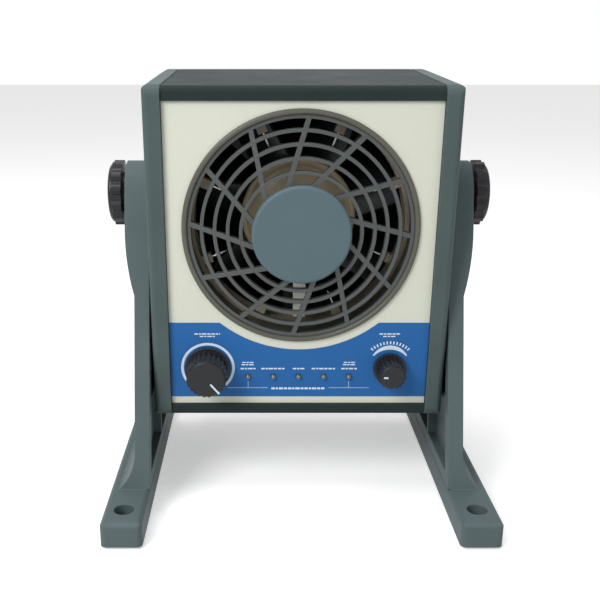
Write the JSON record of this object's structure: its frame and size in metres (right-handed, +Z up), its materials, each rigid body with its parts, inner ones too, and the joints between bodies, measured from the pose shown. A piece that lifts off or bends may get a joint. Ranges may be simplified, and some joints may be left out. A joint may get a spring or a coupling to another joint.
{
  "type": "ionizing air blower",
  "caption": "Benchtop ionizing blower: a fan housing with a round domed grille and a control panel, tilting between side legs.",
  "frame": {"origin": "on the bench, midway between the feet and under the tilt axis", "axes": "+X to the right seen from the front, +Y to the back, +Z up"},
  "size_m": [0.203, 0.19, 0.2269],
  "materials": {
    "slate_plastic": "fine moulded grain",
    "cheek_plastic": "fine moulded grain",
    "cover_paint": "satin powder coat",
    "cream_panel": "satin",
    "blue_film": "semi-gloss printed film",
    "bezel_plastic": "satin",
    "grille_plastic": "satin",
    "cap_plastic": "satin",
    "fan_plastic": "satin",
    "rotor_plastic": "satin",
    "magnet": "dull",
    "steel": "bright zinc",
    "copper": "enamelled wire",
    "emitter_plastic": "natural",
    "brush_plastic": "natural white",
    "board": "solder mask",
    "lamp_lens": "clear tinted lens",
    "pot_case": "moulded",
    "knob_black": "satin black",
    "potting": "cast resin",
    "guard_plastic": "fine grain",
    "filter_foam": "open foam",
    "black_plastic": "satin",
    "rocker_red": "gloss",
    "brass": "turned",
    "rubber": "matt"
  },
  "bodies": {
    "stand": {"left_leg": "slate_plastic", "right_leg": "slate_plastic", "foot_pads": "rubber"},
    "housing": {"left_cheek": "cheek_plastic", "right_cheek": "cheek_plastic", "top_cover": "cover_paint", "base_tray": "cover_paint", "rear_panel": "cover_paint", "front_panel": "cream_panel", "control_overlay": "blue_film", "fan_bezel": "bezel_plastic", "finger_grille": "grille_plastic", "hub_cap": "cap_plastic", "fan_frame": "fan_plastic", "fan_bearings": "steel", "fan_stator": "copper", "fan_screws": "steel", "emitter_ring": "emitter_plastic", "emitter_needles": "steel", "brush_pivot": "steel", "brush_clip": "steel", "control_board": "board", "board_screws": "steel", "indicator_lamps": "lamp_lens", "speed_pot": "pot_case", "balance_pot": "pot_case", "high_voltage_module": "potting", "power_board": "board", "rear_guard": "guard_plastic", "inlet_filter": "filter_foam", "mains_inlet": "black_plastic", "power_switch_frame": "black_plastic", "ground_jack": "brass", "cover_screws": "steel", "rear_screws": "steel", "pivot_inserts": "brass", "friction_washers": "rubber"},
    "fan": {"fan_rotor": "rotor_plastic", "rotor_magnet": "magnet", "fan_shaft": "steel"},
    "cleaning_brush": {"brush_arm": "brush_plastic", "brush_bristles": "brush_plastic"},
    "speed_control": {"speed_knob": "knob_black", "speed_shaft": "steel"},
    "balance_control": {"balance_knob": "knob_black", "balance_shaft": "steel"},
    "rocker": {"power_rocker": "rocker_red"},
    "left_lock_washer": {"left_thrust_washer": "steel"},
    "left_lock": {"left_tilt_knob": "knob_black", "left_stud": "steel"},
    "right_lock_washer": {"right_thrust_washer": "steel"},
    "right_lock": {"right_tilt_knob": "knob_black", "right_stud": "steel"}
  },
  "joints": [
    {"name": "tilt", "type": "hinge", "parent": "stand", "child": "housing", "pos_m": [0, 0, 0.163], "axis": [1, 0, 0], "range_deg": [-93, 87]},
    {"name": "fan_spin", "type": "hinge", "parent": "housing", "child": "fan", "pos_m": [0, -0.01195, 0.15216], "axis": [0, -0.9986, -0.0523], "continuous": true},
    {"name": "brush_turn", "type": "hinge", "parent": "housing", "child": "cleaning_brush", "pos_m": [0, -0.03292, 0.15106], "axis": [0, -0.9986, -0.0523], "continuous": true},
    {"name": "speed_turn", "type": "hinge", "parent": "housing", "child": "speed_control", "pos_m": [-0.0484, -0.03796, 0.07519], "axis": [0, -0.9986, -0.0523], "range_deg": [0, 280]},
    {"name": "balance_turn", "type": "hinge", "parent": "housing", "child": "balance_control", "pos_m": [0.0484, -0.03796, 0.07519], "axis": [0, -0.9986, -0.0523], "range_deg": [-230, 50]},
    {"name": "power_switch", "type": "hinge", "parent": "housing", "child": "rocker", "pos_m": [-0.002, 0.06551, 0.07861], "axis": [0, -0.0523, 0.9986], "range_deg": [-16, 0]},
    {"name": "left_lock_travel", "type": "slide", "parent": "housing", "child": "left_lock_washer", "axis": [-1, 0, 0], "range_m": [0, 0.00125]},
    {"name": "left_lock_turn", "type": "hinge", "parent": "left_lock_washer", "child": "left_lock", "pos_m": [-0.09, 0, 0.163], "axis": [-1, 0, 0], "range_deg": [0, 360]},
    {"name": "right_lock_travel", "type": "slide", "parent": "housing", "child": "right_lock_washer", "axis": [1, 0, 0], "range_m": [0, 0.00125]},
    {"name": "right_lock_turn", "type": "hinge", "parent": "right_lock_washer", "child": "right_lock", "pos_m": [0.09, 0, 0.163], "axis": [1, 0, 0], "range_deg": [0, 360]}
  ],
  "couplings": [
    {"joint": "left_lock_turn", "follows": "left_lock_travel", "rad_per_m": 5026.5},
    {"joint": "right_lock_turn", "follows": "right_lock_travel", "rad_per_m": 5026.5}
  ]
}
